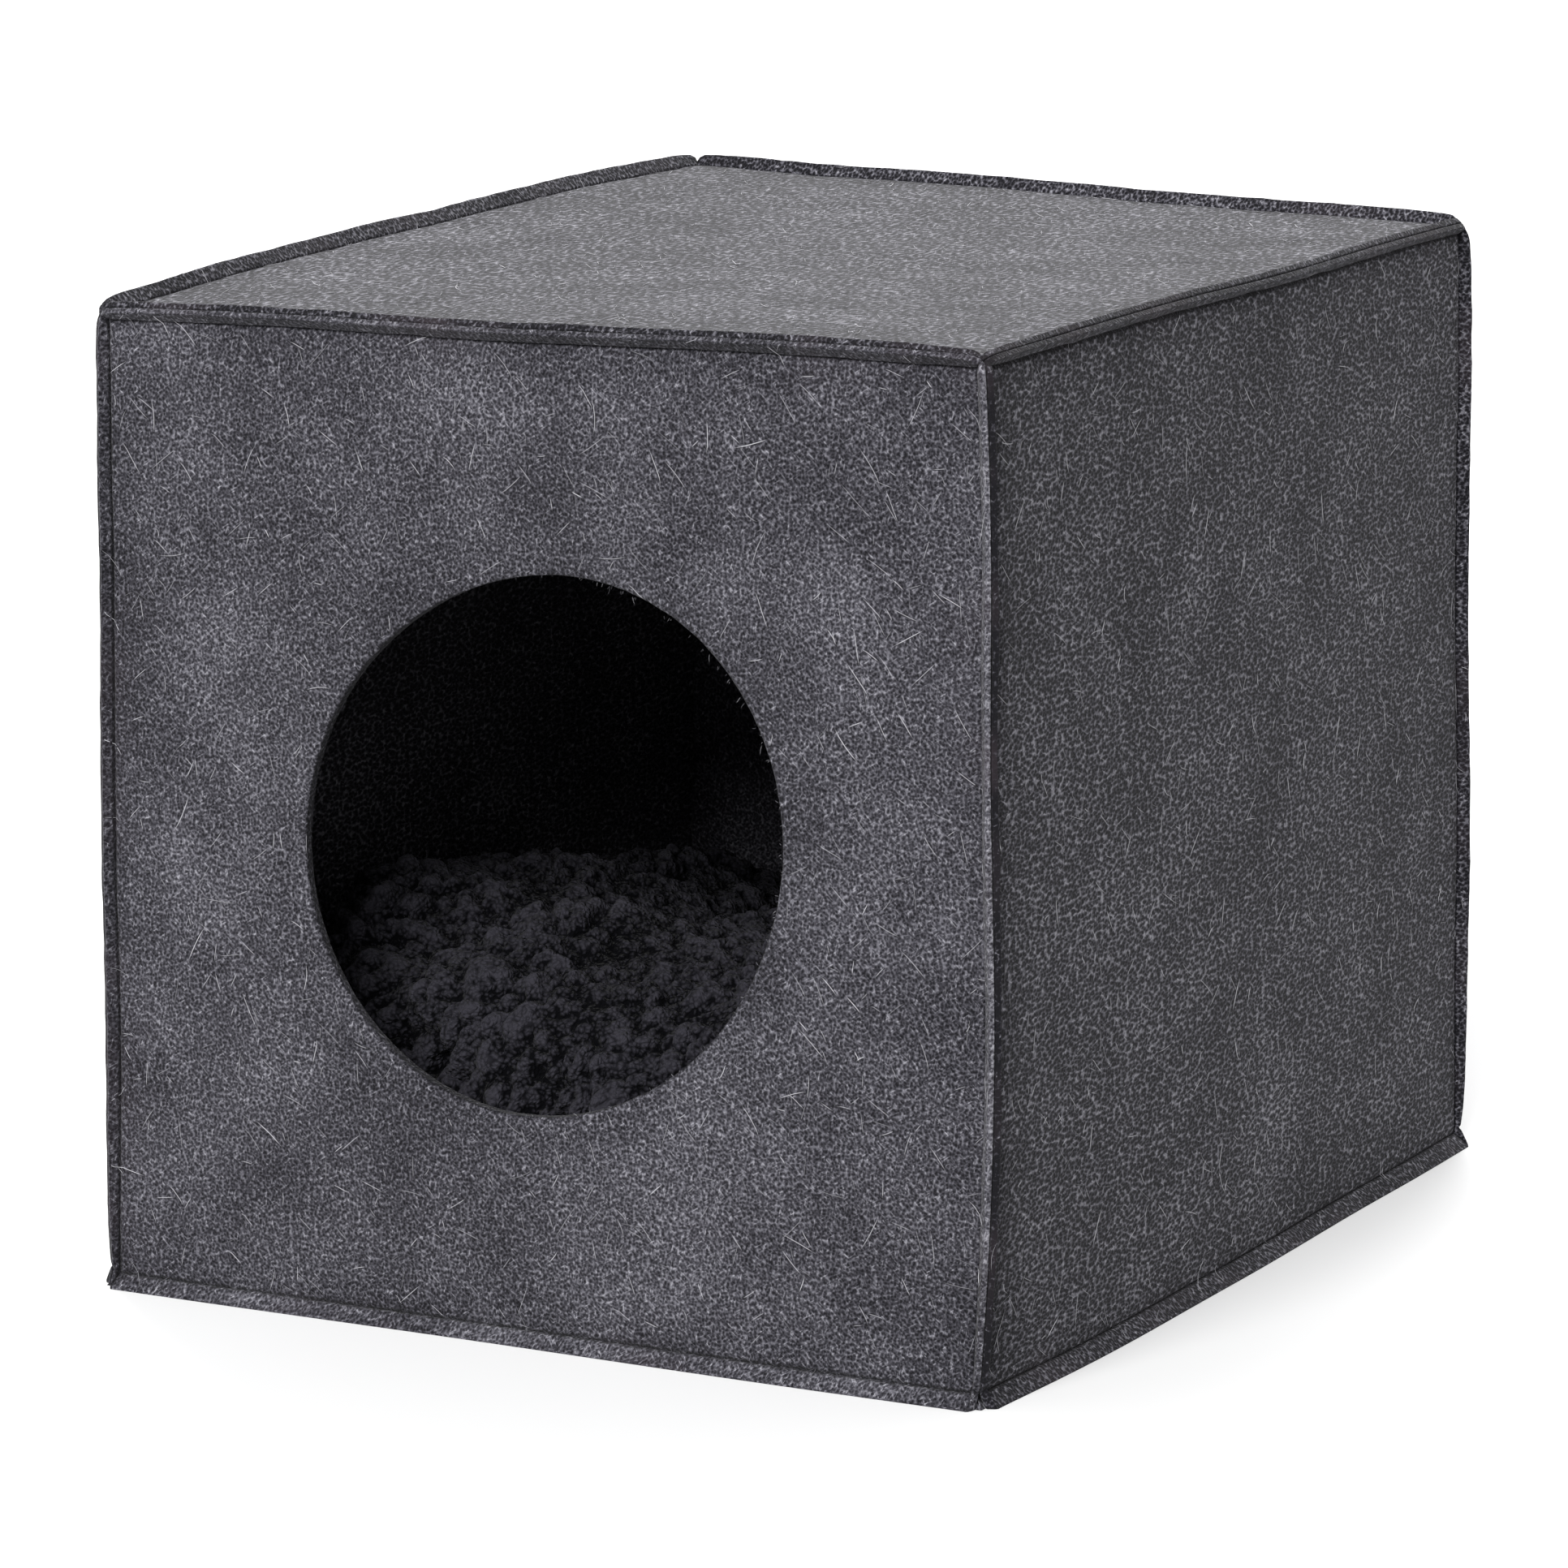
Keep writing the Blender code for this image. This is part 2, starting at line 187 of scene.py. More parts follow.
fibres_up = add(
    tree, "ShaderNodeMath",
    {0: mat.outputs["Fac"], 1: MAT_CONTRAST, 2: marks.outputs[0]},
    operation="MULTIPLY_ADD",
)
# Painted shade: on the sides, top and base the needle pits are drawn darker, as light raking across them
# would shade them.
raking_shade = add(tree, "ShaderNodeAttribute", attribute_name="raking_pit_shade")
raking_shade = add(tree, "ShaderNodeMath", {0: raking_shade.outputs["Fac"], 1: 1.0}, operation="SUBTRACT")
marks = add(tree, "ShaderNodeMath", {0: marks.outputs[0], 1: MARK_MEAN}, operation="SUBTRACT")
level = add(
    tree, "ShaderNodeMath",
    {0: marks.outputs[0], 1: raking_shade.outputs[0], 2: fibres_up.outputs[0]},
    operation="MULTIPLY_ADD",
)
cloud = add(tree, "ShaderNodeTexNoise", {"Vector": place, "Scale": GRAIN / CLOUD, "Detail": 2})
lot = add(tree, "ShaderNodeTexNoise", {"Vector": place, "Scale": GRAIN / DYE_LOT})
# Painted shade: the felt is drawn darker beside the seams. The same mask carries a warm tint there.
near_seam_mask = add(tree, "ShaderNodeAttribute", attribute_name="near_seam")
# Painted shade and painted light: darker on the rims, in the groove and on the cut wall, paler on the front's
# foot and right rim.
painted_shading = add(tree, "ShaderNodeAttribute", attribute_name="painted_shade_and_light")
for layer, contrast in (
    (cloud, CLOUD_CONTRAST), (lot, LOT_CONTRAST), (near_seam_mask, SEAM_SHADE_CONTRAST), (painted_shading, PAINTED_SHADE_CONTRAST)
):
    level = add(
        tree, "ShaderNodeMath",
        {0: layer.outputs["Fac"], 1: contrast, 2: level.outputs[0]},
        operation="MULTIPLY_ADD",
    )
for turn in DASH_TURNS:
    laid = add(
        tree, "ShaderNodeMapping",
        {"Vector": laid_flat, "Rotation": (0, 0, turn), "Scale": (DASH_LENGTH, DASH_WIDTH, 1)},
        vector_type="TEXTURE",
    )
    dash = add(
        tree, "ShaderNodeTexNoise",
        {"Vector": laid.outputs[0], "Scale": 1.0, "Detail": 1},
        noise_dimensions="2D",
    )
    dash = add(
        tree, "ShaderNodeMapRange",
        {"Value": dash.outputs["Fac"], "From Min": DASH_FROM, "From Max": DASH_TO, "To Max": DASH_CONTRAST},
    )
    level = add(tree, "ShaderNodeMath", {0: level.outputs[0], 1: dash.outputs[0]})
shade = add(tree, "ShaderNodeValToRGB", {"Fac": level.outputs[0]})
stops = shade.color_ramp.elements
stops[0].position = 0.42
stops[0].color = linear(DARK_FIBRE)
stops[1].position = 0.62
stops[1].color = linear(GREY_FIBRE)
stops.new(0.80).color = linear(PALE_FIBRE)
stops.new(1.0).color = linear(UNDYED_FIBRE)
warm = add(tree, "ShaderNodeTexNoise", {"Vector": place, "Scale": GRAIN / WARM_CLOUD})
warm = add(
    tree, "ShaderNodeMapRange",
    {"Value": warm.outputs["Fac"], "From Min": WARM_FROM, "From Max": WARM_TO, "To Max": WARM_SHARE},
)
warm = add(tree, "ShaderNodeMath", {0: warm.outputs[0], 1: near_seam_mask.outputs["Fac"]}, operation="MULTIPLY")
colour = add(
    tree, "ShaderNodeMix",
    {0: warm.outputs[0], 6: shade.outputs["Color"], 7: linear(WARM_FIBRE)},
    data_type="RGBA",
)
relief = add(tree, "ShaderNodeBump", {"Height": fibres_up.outputs[0], "Strength": 0.8, "Distance": PIT_DEPTH})
surface = add(
    tree, "ShaderNodeBsdfPrincipled",
    {
        "Base Color": colour.outputs[2],
        "Roughness": 0.95,
        "Specular IOR Level": 0.2,
        "Sheen Weight": 0.06,
        "Sheen Roughness": 0.5,
        "Normal": relief.outputs[0],
    },
)
add(tree, "ShaderNodeOutputMaterial", {"Surface": surface.outputs[0]})


def take_alone(piece):
    """Makes the piece the active object, and the only selected one."""
    bpy.ops.object.select_all(action="DESELECT")
    bpy.context.view_layer.objects.active = piece
    piece.select_set(True)


def edit(piece):
    """Opens the piece alone in edit mode."""
    take_alone(piece)
    bpy.ops.object.mode_set(mode="EDIT")
    bpy.ops.mesh.select_mode(type="EDGE")


def pick(piece, test, kind="EDGE"):
    """Selects the edges, vertices or faces that pass the test, and leaves the others."""
    bpy.ops.mesh.select_mode(type=kind)
    bpy.ops.mesh.select_all(action="DESELECT")
    mesh = bmesh.from_edit_mesh(piece.data)
    mesh.normal_update()
    parts = {"EDGE": mesh.edges, "VERT": mesh.verts, "FACE": mesh.faces}[kind]
    for part in [part for part in parts if test(part)]:
        part.select_set(True)
    mesh.select_flush_mode()
    bmesh.update_edit_mesh(piece.data)


def apply(piece, modifier):
    """Works the modifier into the piece's mesh."""
    take_alone(piece)
    bpy.ops.object.modifier_apply(modifier=modifier.name)


def copy_of_node(node, name):
    """A piece with the shape of a CAD node, its loose triangles merged into one closed skin of quads."""
    piece = bpy.data.objects.new(name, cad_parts[node].data.copy())
    bpy.context.scene.collection.objects.link(piece)
    edit(piece)
    bpy.ops.mesh.select_all(action="SELECT")
    bpy.ops.mesh.remove_doubles(threshold=SAME_POINT)
    bpy.ops.mesh.tris_convert_to_quads(face_threshold=QUAD_FOLD, shape_threshold=QUAD_CORNERS)
    bpy.ops.object.mode_set(mode="OBJECT")
    return piece


def numbers(parts, kind, width=1, whole=False):
    """One property of all the points, faces or corners of a mesh, as rows of numbers."""
    values = np.empty(len(parts) * width, dtype=int if whole else float)
    parts.foreach_get(kind, values)
    return values.reshape(-1, width) if width > 1 else values


def mark(piece, name, values):
    """Gives each point of the piece a value for its material to read."""
    piece.data.attributes.new(name, "FLOAT", "POINT").data.foreach_set("value", values)


def skin_of(piece):
    """The piece's surface, for rays and for finding the nearest point on it."""
    return BVHTree.FromPolygons(
        [vertex.co for vertex in piece.data.vertices],
        [tuple(polygon.vertices) for polygon in piece.data.polygons],
    )


def cut_radius(angle):
    """The entrance's radius in a direction."""
    return ENTRANCE_RADIUS * (1 + ENTRANCE_PULL * np.cos(2 * (angle - PULL_TURN)))


def from_entrance(at):
    """How far out of the entrance's cut edge the points of the front panel lie."""
    away = at - np.array(ENTRANCE_MIDDLE)
    return np.hypot(away[:, 0], away[:, 2]) - cut_radius(np.arctan2(away[:, 2], away[:, 0]))


def slope(share):
    """How fully a face slopes a way, from the share of its normal that points there."""
    return np.clip((share - SLOPE_FROM) / SLOPE_RANGE, 0, 1)


def ruffle(piece, name, shares, length, height):
    """Raises and lowers the points along their normals in soft clouds, each by its share."""
    group = piece.vertex_groups.new(name=name)
    shares = np.round(shares, 2)
    for share in np.unique(shares[shares > 0]):
        group.add(np.flatnonzero(shares == share).tolist(), float(share), "REPLACE")
    clouds = bpy.data.textures.new(name, "CLOUDS")
    clouds.noise_scale = length
    clouds.noise_depth = 1
    modifier = piece.modifiers.new(name, "DISPLACE")
    modifier.texture = clouds
    modifier.texture_coords = "GLOBAL"
    modifier.strength = height
    modifier.vertex_group = name
    apply(piece, modifier)
    piece.vertex_groups.clear()


def felt_sheet(node, out, crest_shade, drawn_out, raking_pit_shade):
    """A panel as a sheet of felt, from the mesh of its CAD solid."""
    piece = copy_of_node(node, node.replace("panel", "felt"))
    low, high = (Vector(corner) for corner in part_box(node))
    flatwise = [axis for axis in range(3) if not out[axis]]
    through = 3 - sum(flatwise)
    entrance = node == "front_panel"

    # The stitches draw the groove in, but never below the floor.
    edit(piece)
    pick(piece, lambda edge: edge.is_manifold and edge.calc_face_angle_signed() < GROOVE_ANGLE)
    bpy.ops.mesh.bevel(offset=GROOVE_HALF_WIDTH, segments=2, affect="EDGES")
    mesh = bmesh.from_edit_mesh(piece.data)
    mesh.verts.index_update()
    stitched = mesh.verts.layers.float.new("stitched")
    sunk = set()
    for vertex in mesh.verts:
        if vertex.select and all(face.select for face in vertex.link_faces):
            sunk.add(vertex.index)
            vertex[stitched] = 1
            vertex.co -= vertex.normal * min(GROOVE_DEPTH, max(0, vertex.co.z - GROOVE_DEPTH))
    bmesh.update_edit_mesh(piece.data)

    # The groove stays sharp, the cut edges of felt are soft, and the rest bows in smooth curves.
    pick(piece, lambda edge: all(vertex.index in sunk for vertex in edge.verts))
    bpy.ops.transform.edge_crease(value=1)
    pick(piece, lambda edge: edge.is_manifold and edge.calc_face_angle_signed() > CUT_EDGE_ANGLE)
    bpy.ops.transform.edge_crease(value=CUT_EDGE_CREASE)
    bpy.ops.object.mode_set(mode="OBJECT")
    smooth = piece.modifiers.new("smooth", "SUBSURF")
    smooth.levels = smooth.render_levels = CELL_LEVELS
    apply(piece, smooth)

    # Distances to the panel's four seams, and how far each point faces away from the nearest of them.
    at = numbers(piece.data.vertices, "co", 3)
    normal = numbers(piece.data.vertices, "normal", 3)
    outward = normal @ np.array(out)
    sides = [(axis, end, sign) for axis in flatwise for end, sign in ((low, 1), (high, -1))]
    gaps = np.stack([sign * (at[:, axis] - end[axis]) for axis, end, sign in sides])
    inward = np.choose(gaps.argmin(axis=0), [sign * normal[:, axis] for axis, end, sign in sides])
    seam_gap = np.maximum(0, gaps.min(axis=0))
    near_rim = seam_gap < RIM_REACH

    # The faces that touch the next panel or the floor stay even.
    free = np.clip(at[:, 2] / FLOOR_ZONE - EVEN_SHARE, 0, 1) * (node != "base_panel")
    ruffle(piece, node + "_sag", free * np.clip(outward, 0, 1) ** 0.5, SAG_LENGTH, SAG_HEIGHT)
    ruffle(piece, node + "_rim", free * (near_rim & (outward > RIM_BACK)), RIM_WAVE_LENGTH, RIM_WAVE_HEIGHT)
    if entrance:
        near_cut = np.abs(from_entrance(at)) < CUT_WALL_REACH
        ruffle(piece, node + "_cut", near_cut * 1.0, CUT_WAVE_LENGTH, CUT_WAVE_HEIGHT)

    # What the material reads: the painted shade beside the seams, the painted shade and light on the rims,
    # groove, cut wall and foot, and the painted shade that deepens the marks.
    above_foot = near_rim & (at[:, 2] > FLOOR_ZONE)
    # Painted shade on the rim's back and crest, in the groove, on the cut wall and on the sides beside the
    # front seam; painted light on the front's crest, foot and right rim.
    painted_shading = above_foot * (BENT_SHADE * slope(inward) + crest_shade * slope(-inward))
    painted_shading += GROOVE_SHADE * numbers(piece.data.attributes["stitched"].data, "value")
    if entrance:
        painted_shading += CUT_WALL_SHADE * (near_cut & (outward < CUT_WALL))
        painted_shading += FOOT_LIGHT * (at[:, 2] < FOOT_HEIGHT)
        right_gap = gaps[1]
        painted_shading += FRONT_RIM_LIGHT * np.exp(-((right_gap / FRONT_RIM_LIGHT_REACH) ** 2))
    if out.x:
        front_gap = gaps[0]
        painted_shading += SIDE_SEAM_SHADE * np.exp(-np.maximum(0, front_gap) / SIDE_SEAM_SHADE_REACH)
    # near_seam drives the painted shade beside the seams.
    mark(piece, "near_seam", np.exp(-seam_gap / SEAM_SHADE))
    mark(piece, "painted_shade_and_light", painted_shading)
    # How much painted shade deepens the needle pits on this panel.
    mark(piece, "raking_pit_shade", np.full(len(at), float(raking_pit_shade)))

    # The needle marks are laid flat on each side of the sheet. The felt of the sides, top and base came off
    # the roll from front to back, which draws its marks out that way.
    facing = np.abs(numbers(piece.data.polygons, "normal", 3)).argmax(axis=1)
    facing = np.repeat(facing, numbers(piece.data.polygons, "loop_total", whole=True))
    corners = numbers(piece.data.loops, "vertex_index", whole=True)
    spread = numbers(piece.data.vertices, "co", 3)[corners]
    spread /= np.where((facing == through)[:, None], drawn_out, 1)
    rows = np.arange(len(corners))
    across, along = np.where(facing == 0, 1, 0), np.where(facing == 2, 1, 2)
    flat = np.stack((spread[rows, across], spread[rows, along]), axis=1)
    piece.data.uv_layers.new(name="flat").data.foreach_set("uv", flat.ravel())

    piece.data.materials.clear()
    piece.data.materials.append(felt)
    piece.data.shade_smooth()
    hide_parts(node)
    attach(piece, "root")
    return piece


sheets = {}
for node, looks in PANELS.items():
    sheets[node] = felt_sheet(node, *looks)


# ---- Loose fibres ----------------------------------------------------------------------------------------
# Single undyed and grey fibres that the needles didn't catch. They lie on the felt, most of them aslant, and
# stand off a little at their ends. Others hang out of the raw edge of the entrance, in a few wisps on its
# right side where the knife has torn the felt.

FIBRES_ON = {"front_panel": 750, "right_panel": 900, "top_panel": 600, "left_panel": 600, "back_panel": 500}
FIBRE_LENGTHS = (0.0030, 0.0150)
# Drawn about four times as thick as a real fibre, so that it shows. The spreads are shares of this.
FIBRE_THICKNESS = 0.00016
THICKNESS_SPREAD = (0.7, 1.4)
EDGE_THICKNESS_SPREAD = (0.7, 1.2)
# Few fibres are very pale: a chance from 0 to 1 is raised to a power. Those of the edge stay darker.
PALE_POWER = 1.2
EDGE_PALEST, EDGE_PALE_POWER = 0.45, 2
FIBRE_SIDES = 3
FIBRE_STATIONS = 5
# Heights on the strand that are nearer than this are one.
SAME_HEIGHT = 0.01
FIBRE_SEED = 4
# How far a fibre is turned from level and how that spreads, two in three one way. Then how much it bows for
# its length, how clear of the felt its middle lies, and how far its ends stand off.
FIBRE_TURN, TURN_SPREAD, TURN_WAYS = 0.9, 0.45, (1, 1, -1)
FIBRE_BOW = 0.12
FIBRE_CLEARANCE = 0.00018
END_LIFT = 0.0005
# Rays find the felt. They start this far out of the panel, or out of the middle of the cave for the edge of
# the entrance, and one that goes in as far as the third value has gone through the entrance.
RAY_START = 0.05
EDGE_RAY_START = 0.25
ENTRANCE_DEPTH = -0.05
# Where the wisps are and how they spread, in degrees round the entrance from its right side upward.
WISPS_AT = (75, 68, 45, 42, 34, 27)
WISP_SPREAD = 1.6
WISP_LENGTHENED = 1.7
FIBRES_IN_WISP = 2
EDGE_FIBRES = 120
EDGE_FIBRE_LENGTHS = (0.0006, 0.0019)
ROOT_INSIDE = 0.0006
ROOT_DEPTHS = (0.0002, 0.0025)
# How an edge fibre leans along the edge and outward, and how it curls sideways and droops for its length.
EDGE_LEAN, EDGE_OUTWARD, EDGE_CURL, EDGE_DROOP = 0.7, 0.2, 0.3, 0.2

# Drawn polyester filament, dyed grey or left undyed: smooth thin strands, most of them paler than the felt.
FIBRE_GREY = "#3d3c42"
FIBRE_UNDYED = "#d0cfd5"

fibre = blank_material("loose_polyester_fibre")
tree = fibre.node_tree
paleness = add(tree, "ShaderNodeAttribute", attribute_name="paleness")
shade = add(tree, "ShaderNodeValToRGB", {"Fac": paleness.outputs["Fac"]})
shade.color_ramp.elements[0].color = linear(FIBRE_GREY)
shade.color_ramp.elements[1].color = linear(FIBRE_UNDYED)
surface = add(
    tree, "ShaderNodeBsdfPrincipled", {"Base Color": shade.outputs["Color"], "Roughness": 0.6}
)
add(tree, "ShaderNodeOutputMaterial", {"Surface": surface.outputs[0]})

# One strand, 1 long and 1 thick, drawn to a point at both ends. All the fibres are bent copies of it.
bpy.ops.object.select_all(action="DESELECT")
bpy.ops.mesh.primitive_cylinder_add(vertices=FIBRE_SIDES, radius=0.5, depth=1, end_fill_type="NOTHING")
strand = bpy.context.object
edit(strand)
pick(strand, lambda edge: abs(edge.verts[0].co.z - edge.verts[1].co.z) > SAME_HEIGHT)
bpy.ops.mesh.subdivide(number_cuts=FIBRE_STATIONS - 2)
for end in (-0.5, 0.5):
    pick(strand, lambda vertex: abs(vertex.co.z - end) < SAME_HEIGHT, "VERT")
    bpy.ops.mesh.merge(type="CENTER")
bpy.ops.mesh.select_all(action="SELECT")
bpy.ops.mesh.normals_make_consistent(inside=False)
bpy.ops.object.mode_set(mode="OBJECT")
strand_points = [vertex.co.copy() for vertex in strand.data.vertices]
strand_faces = [tuple(polygon.vertices) for polygon in strand.data.polygons]
bpy.data.objects.remove(strand)

heap_points, heap_faces, heap_tints = [], [], []


def lay_strand(route, across, thickness, tint):
    """Bends a copy of the strand along a route of points and adds it to the heap."""
    first = len(heap_points)
    last = len(route) - 1
    for spot in strand_points:
        station = round((spot.z + 0.5) * last)
        nearby = route[min(last, station + 1)] - route[max(0, station - 1)]
        lift = nearby.cross(across).normalized()
        side = lift.cross(nearby).normalized()
        heap_points.append(route[station] + (side * spot.x + lift * spot.y) * thickness)
        heap_tints.append(tint)
    heap_faces.extend(tuple(first + corner for corner in corners) for corners in strand_faces)


chance = random.Random(FIBRE_SEED)
stations = [station / (FIBRE_STATIONS - 1) for station in range(FIBRE_STATIONS)]
for node, amount in FIBRES_ON.items():
    out = PANELS[node][0]
    low, high = (Vector(corner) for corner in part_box(node))
    skin = skin_of(sheets[node])
    side = out.cross(Vector((0, 0, 1))) if not out.z else Vector((1, 0, 0))
    rise = side.cross(out)
    laid = 0
    while laid < amount:
        middle = Vector(chance.uniform(low[axis], high[axis]) for axis in range(3))
        turn = chance.gauss(FIBRE_TURN, TURN_SPREAD) * chance.choice(TURN_WAYS)
        length = min(chance.uniform(*FIBRE_LENGTHS), chance.uniform(*FIBRE_LENGTHS))
        bow = chance.gauss(0, FIBRE_BOW)
        along = side * math.cos(turn) + rise * math.sin(turn)
        across = side * -math.sin(turn) + rise * math.cos(turn)
        route = []
        for station in stations:
            reach = station - 0.5
            point = middle + along * (reach * length) + across * (reach * reach * bow * length)
            hit = skin.ray_cast(point + out * RAY_START, -out)[0]
            if hit is None or (hit - middle).dot(out) < ENTRANCE_DEPTH:
                break
            lift = END_LIFT * max(0, chance.gauss(0, 1)) * abs(2 * reach) ** 3
            route.append(hit + out * (FIBRE_CLEARANCE + lift))
        if len(route) == FIBRE_STATIONS:
            tint = chance.random() ** PALE_POWER
            lay_strand(route, across, FIBRE_THICKNESS * chance.uniform(*THICKNESS_SPREAD), tint)
            laid += 1
    if node != "front_panel":
        continue
    # The raw edge of the entrance sheds fibres in a few wisps, and darker ones all round.
    turns = [
        math.radians(chance.gauss(turn, WISP_SPREAD)) for turn in WISPS_AT for _ in range(FIBRES_IN_WISP)
    ]
    turns += [chance.uniform(0, 2 * math.pi) for _ in range(EDGE_FIBRES)]
    for number, turn in enumerate(turns):
        in_wisp = number < len(WISPS_AT) * FIBRES_IN_WISP
        outward = Vector((math.cos(turn), 0, math.sin(turn)))
        edge = ENTRANCE_MIDDLE + outward * cut_radius(turn)
        hit = skin.ray_cast(edge + outward * CUT_WALL_REACH + out * EDGE_RAY_START, -out)[0]
        root = Vector((edge.x, hit.y, edge.z)) + outward * ROOT_INSIDE - out * chance.uniform(*ROOT_DEPTHS)
        length = chance.uniform(*EDGE_FIBRE_LENGTHS) * (WISP_LENGTHENED if in_wisp else 1)
        tangent = outward.cross(out)
        along = -outward + tangent * chance.gauss(0, EDGE_LEAN) + out * chance.gauss(0, EDGE_OUTWARD)
        along.normalize()
        curve = tangent * chance.gauss(0, EDGE_CURL) - Vector((0, 0, EDGE_DROOP))
        route = [root + along * (length * reach) + curve * (length * reach**2) for reach in stations]
        tint = EDGE_PALEST * chance.random() ** EDGE_PALE_POWER
        lay_strand(route, out, FIBRE_THICKNESS * chance.uniform(*EDGE_THICKNESS_SPREAD), tint)

fibres = bpy.data.objects.new("loose_fibres", bpy.data.meshes.new("loose_fibres"))
bpy.context.scene.collection.objects.link(fibres)
fibres.data.from_pydata(heap_points, [], heap_faces)
mark(fibres, "paleness", heap_tints)
edit(fibres)
bpy.ops.mesh.select_all(action="SELECT")
bpy.ops.mesh.normals_make_consistent(inside=False)
bpy.ops.object.mode_set(mode="OBJECT")
fibres.data.materials.append(fibre)
fibres.data.shade_smooth()
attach(fibres, "root")


# ---- Cushion ---------------------------------------------------------------------------------------------
# One loose filled cushion that covers the base panel. Its cover is black sherpa plush, a knitted ground
# with a curly pile of about 8 mm that clumps in soft knobs. The filling swells it between the felt walls,
# higher at its left end, and it is creased where it has been pushed in through the entrance.

# The cover starts as this share of its solid, remeshed in voxels of this size. Pressure from inside blows it
# up for so many frames, and no point of it moves further than the last value.
FILLING_START = (0.975, 0.975, 0.93)
FILLING_VOXEL = 0.005
FILLING_PRESSURE = 4
FILLING_FRAMES = 20
MOST_SWELL = 0.005
# Moves shorter than this count as this long, so that nothing is divided by zero.
SHORTEST_MOVE = 1e-9
# The knitted ground keeps so far inside the solid: room for its pile on top and at the sides, and less
# underneath, where the share of the solid's normal that points up is under the third value.
PILE_ROOM = 0.0045
GROUND_ROOM = 0.0004
UNDERSIDE = -0.2
# Where the filling has gathered or thinned. Columns: the middle and the reach in X and Y, the height.
LOBES = (
    (Vector((-0.122, -0.078)), Vector((0.038, 0.052)), 0.019),
    (Vector((-0.095, -0.030)), Vector((0.030, 0.035)), 0.004),
    (Vector((-0.025, -0.010)), Vector((0.050, 0.045)), -0.007),
    (Vector((0.000, 0.110)), Vector((0.120, 0.090)), -0.024),
)
# Columns: both ends of the crease, its half width and its depth.
CREASES = (
    (Vector((-0.0080, -0.1600, 0.097)), Vector((0.0120, -0.1530, 0.101)), 0.0040, 0.015),
    (Vector((0.0295, -0.1600, 0.094)), Vector((0.0520, -0.1420, 0.109)), 0.0050, 0.015),
    (Vector((-0.0930, -0.1540, 0.112)), Vector((-0.0500, -0.1700, 0.080)), 0.0120, 0.018),
)
# Faces are subdivided once, and once more where the entrance shows them.
SUBDIVIDED_SMOOTH = 0.6
SEEN_ABOVE, SEEN_BEFORE = 0.055, 0.050
# The knobs of the pile. Columns: width, height. They stretch along the way that the pile is combed, and the
# rows of them swirl over the longer distance and each knob over its own width.
KNOBS = ((0.0120, 0.0080), (0.0054, 0.0036))
PILE_WAY = Vector((0.50, 0.30, 0.80)).normalized()
KNOB_STRETCH = 1.5
SWIRL = 0.030
KNOB_SWIRL = 0.35
# Without a seed of their own the swirls would change on each run.
SWIRL_SEED = 1795550567
# A knob's profile: how wide its crease is and how far it reaches, in knob widths, how much of its height
# the crease makes up, and the level of the ground in it.
CREASE_WIDTH, KNOB_REACH = 0.5, 0.8
CREASE_SHARE = 0.6
GROUND_LEVEL = 0.6
# How high the knobs are on the whole, how that changes, over how many widths, and where in the noise.
KNOB_MEAN, KNOB_CHANGE, CHANGE_WIDTHS = 0.75, 0.7, 2.5
CHANGE_START = Vector((7, 0, 0))
# The pile is pressed flat on the base and reaches its height this far up.
PRESSED_BELOW = 0.012

# Sherpa plush: knitted black polyester pile, tumbled until it curls. It is dry, with hardly any sheen, a
# little paler and cool at the tips of its curls. Painted shade darkens it to near black in the creases
# between its knobs and curls.
PLUSH_IN_SHADE = "#040406"
PLUSH_TIP = "#302f35"
CURL = 0.0016
CURL_FRIZZ = 1.5 * CURL
CURL_REACH = 0.8
CURL_CONTRAST = 0.55
CURL_DEPTH = 0.7 * CURL

plush = blank_material("black_sherpa_plush")
tree = plush.node_tree
place = add(tree, "ShaderNodeTexCoord").outputs["Object"]
frizz = add(tree, "ShaderNodeTexNoise", {"Vector": place, "Scale": GRAIN / CURL})
frizz = add(tree, "ShaderNodeVectorMath", {0: frizz.outputs["Color"], "Scale": CURL_FRIZZ}, operation="SCALE")
frizz = add(tree, "ShaderNodeVectorMath", {0: place, 1: frizz.outputs[0]})
curl = add(tree, "ShaderNodeTexVoronoi", {"Vector": frizz.outputs[0], "Scale": 1 / CURL})
curl = add(
    tree, "ShaderNodeMapRange",
    {"Value": curl.outputs["Distance"], "From Max": CURL_REACH, "To Min": 1.0, "To Max": 0.0},
)
# Painted shade: low in the creases between the knobs the plush is drawn darker, down to near black.
knob_shading = add(tree, "ShaderNodeAttribute", attribute_name="knob_shade")
shade = add(
    tree, "ShaderNodeMath",
    {0: curl.outputs[0], 1: CURL_CONTRAST, 2: knob_shading.outputs["Fac"]},
    operation="MULTIPLY_ADD",
)
shade = add(tree, "ShaderNodeValToRGB", {"Fac": shade.outputs[0]})
shade.color_ramp.elements[0].position = 0.57
shade.color_ramp.elements[0].color = linear(PLUSH_IN_SHADE)
shade.color_ramp.elements[1].position = 1.0
shade.color_ramp.elements[1].color = linear(PLUSH_TIP)
relief = add(tree, "ShaderNodeBump", {"Height": curl.outputs[0], "Strength": 1.0, "Distance": CURL_DEPTH})
surface = add(
    tree, "ShaderNodeBsdfPrincipled",
    {
        "Base Color": shade.outputs["Color"],
        "Roughness": 0.9,
        "Specular IOR Level": 0.05,
        "Sheen Weight": 0.02,
        "Sheen Roughness": 0.4,
        "Normal": relief.outputs[0],
    },
)
add(tree, "ShaderNodeOutputMaterial", {"Surface": surface.outputs[0]})

